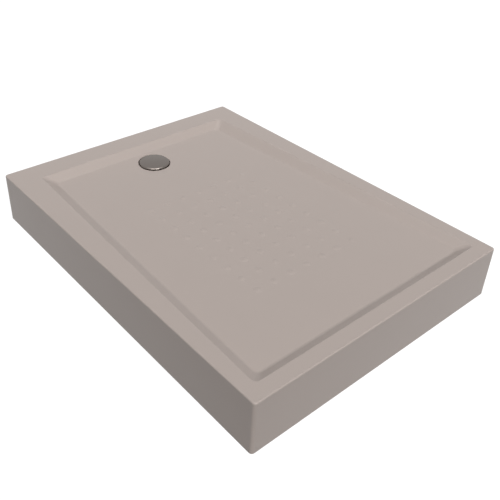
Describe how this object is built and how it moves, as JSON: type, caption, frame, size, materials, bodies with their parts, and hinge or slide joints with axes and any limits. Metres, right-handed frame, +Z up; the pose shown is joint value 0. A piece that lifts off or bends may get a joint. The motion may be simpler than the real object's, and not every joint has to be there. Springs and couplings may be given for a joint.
{
  "type": "shower tray",
  "caption": "Low rectangular acrylic shower tray with an integral skirt, a shallow dished basin with anti-slip bumps, a round chrome waste cover, and a frame on adjustable feet.",
  "frame": {"origin": "centre of the tray's footprint, at floor level", "axes": "+Z up; +X along the long side, away from the waste; +Y towards the long side that the trap's outlet faces"},
  "size_m": [1.2, 0.9, 0.16],
  "materials": {
    "acrylic": "satin-gloss solid-colour acrylic sheet, warm greige",
    "glass_fibre": "rough sprayed glass-fibre laminate",
    "chipboard": "bare moisture-resistant chipboard",
    "galvanised_steel": "dull galvanised tube",
    "zinc_plated": "bright zinc plating",
    "black_plastic": "moulded, fine texture",
    "stainless": "brushed stainless steel",
    "seal_rubber": "soft seal",
    "trap_plastic": "moulded, satin",
    "insert_plastic": "moulded, satin",
    "chrome": "polished chrome plating"
  },
  "bodies": {
    "tray": {"tray_shell": "acrylic", "glass_fibre_backing": "glass_fibre", "base_board": "chipboard", "frame_rail_left": "galvanised_steel", "frame_rail_right": "galvanised_steel", "crossbar_drain_end": "galvanised_steel", "crossbar_middle": "galvanised_steel", "crossbar_far_end": "galvanised_steel", "rail_end_caps": "black_plastic", "crossbar_end_caps": "black_plastic", "board_screws": "zinc_plated", "frame_bolts": "zinc_plated", "frame_nuts": "zinc_plated", "rivet_nuts": "zinc_plated", "lock_nuts": "zinc_plated", "waste_flange": "stainless", "flange_screws": "stainless", "flange_gasket": "seal_rubber", "trap_gasket": "seal_rubber", "trap_body": "trap_plastic", "outlet_seal": "seal_rubber", "outlet_washer": "insert_plastic", "outlet_nut": "trap_plastic"},
    "foot_1": {"foot_1_pad": "black_plastic"},
    "foot_1_screw": {"foot_1_rod": "zinc_plated"},
    "foot_2": {"foot_2_pad": "black_plastic"},
    "foot_2_screw": {"foot_2_rod": "zinc_plated"},
    "foot_3": {"foot_3_pad": "black_plastic"},
    "foot_3_screw": {"foot_3_rod": "zinc_plated"},
    "foot_4": {"foot_4_pad": "black_plastic"},
    "foot_4_screw": {"foot_4_rod": "zinc_plated"},
    "foot_5": {"foot_5_pad": "black_plastic"},
    "foot_5_screw": {"foot_5_rod": "zinc_plated"},
    "foot_6": {"foot_6_pad": "black_plastic"},
    "foot_6_screw": {"foot_6_rod": "zinc_plated"},
    "waste_insert": {"trap_insert": "insert_plastic", "insert_o_ring": "seal_rubber"},
    "waste_cover": {"dome_cover": "chrome", "cover_stem": "insert_plastic"}
  },
  "joints": [
    {"name": "foot_1_level", "type": "slide", "parent": "tray", "child": "foot_1", "axis": [0, 0, -1], "range_m": [-0.008, 0.02]},
    {"name": "foot_1_turn", "type": "hinge", "parent": "foot_1", "child": "foot_1_screw", "pos_m": [-0.545, -0.4, 0.05], "axis": [0, 0, -1], "range_deg": [-1647, 4116]},
    {"name": "foot_2_level", "type": "slide", "parent": "tray", "child": "foot_2", "axis": [0, 0, -1], "range_m": [-0.008, 0.02]},
    {"name": "foot_2_turn", "type": "hinge", "parent": "foot_2", "child": "foot_2_screw", "pos_m": [-0.545, 0.4, 0.05], "axis": [0, 0, -1], "range_deg": [-1647, 4116]},
    {"name": "foot_3_level", "type": "slide", "parent": "tray", "child": "foot_3", "axis": [0, 0, -1], "range_m": [-0.008, 0.02]},
    {"name": "foot_3_turn", "type": "hinge", "parent": "foot_3", "child": "foot_3_screw", "pos_m": [0.02, -0.4, 0.05], "axis": [0, 0, -1], "range_deg": [-1647, 4116]},
    {"name": "foot_4_level", "type": "slide", "parent": "tray", "child": "foot_4", "axis": [0, 0, -1], "range_m": [-0.008, 0.02]},
    {"name": "foot_4_turn", "type": "hinge", "parent": "foot_4", "child": "foot_4_screw", "pos_m": [0.02, 0.4, 0.05], "axis": [0, 0, -1], "range_deg": [-1647, 4116]},
    {"name": "foot_5_level", "type": "slide", "parent": "tray", "child": "foot_5", "axis": [0, 0, -1], "range_m": [-0.008, 0.02]},
    {"name": "foot_5_turn", "type": "hinge", "parent": "foot_5", "child": "foot_5_screw", "pos_m": [0.548, -0.4, 0.05], "axis": [0, 0, -1], "range_deg": [-1647, 4116]},
    {"name": "foot_6_level", "type": "slide", "parent": "tray", "child": "foot_6", "axis": [0, 0, -1], "range_m": [-0.008, 0.02]},
    {"name": "foot_6_turn", "type": "hinge", "parent": "foot_6", "child": "foot_6_screw", "pos_m": [0.548, 0.4, 0.05], "axis": [0, 0, -1], "range_deg": [-1647, 4116]},
    {"name": "insert_lift", "type": "slide", "parent": "tray", "child": "waste_insert", "axis": [0, 0, 1], "range_m": [0, 0.12]},
    {"name": "cover_lift", "type": "slide", "parent": "waste_insert", "child": "waste_cover", "axis": [0, 0, 1], "range_m": [0, 0.05]}
  ],
  "couplings": [
    {"joint": "foot_1_turn", "follows": "foot_1_level", "rad_per_m": 3590.4},
    {"joint": "foot_2_turn", "follows": "foot_2_level", "rad_per_m": 3590.4},
    {"joint": "foot_3_turn", "follows": "foot_3_level", "rad_per_m": 3590.4},
    {"joint": "foot_4_turn", "follows": "foot_4_level", "rad_per_m": 3590.4},
    {"joint": "foot_5_turn", "follows": "foot_5_level", "rad_per_m": 3590.4},
    {"joint": "foot_6_turn", "follows": "foot_6_level", "rad_per_m": 3590.4}
  ]
}
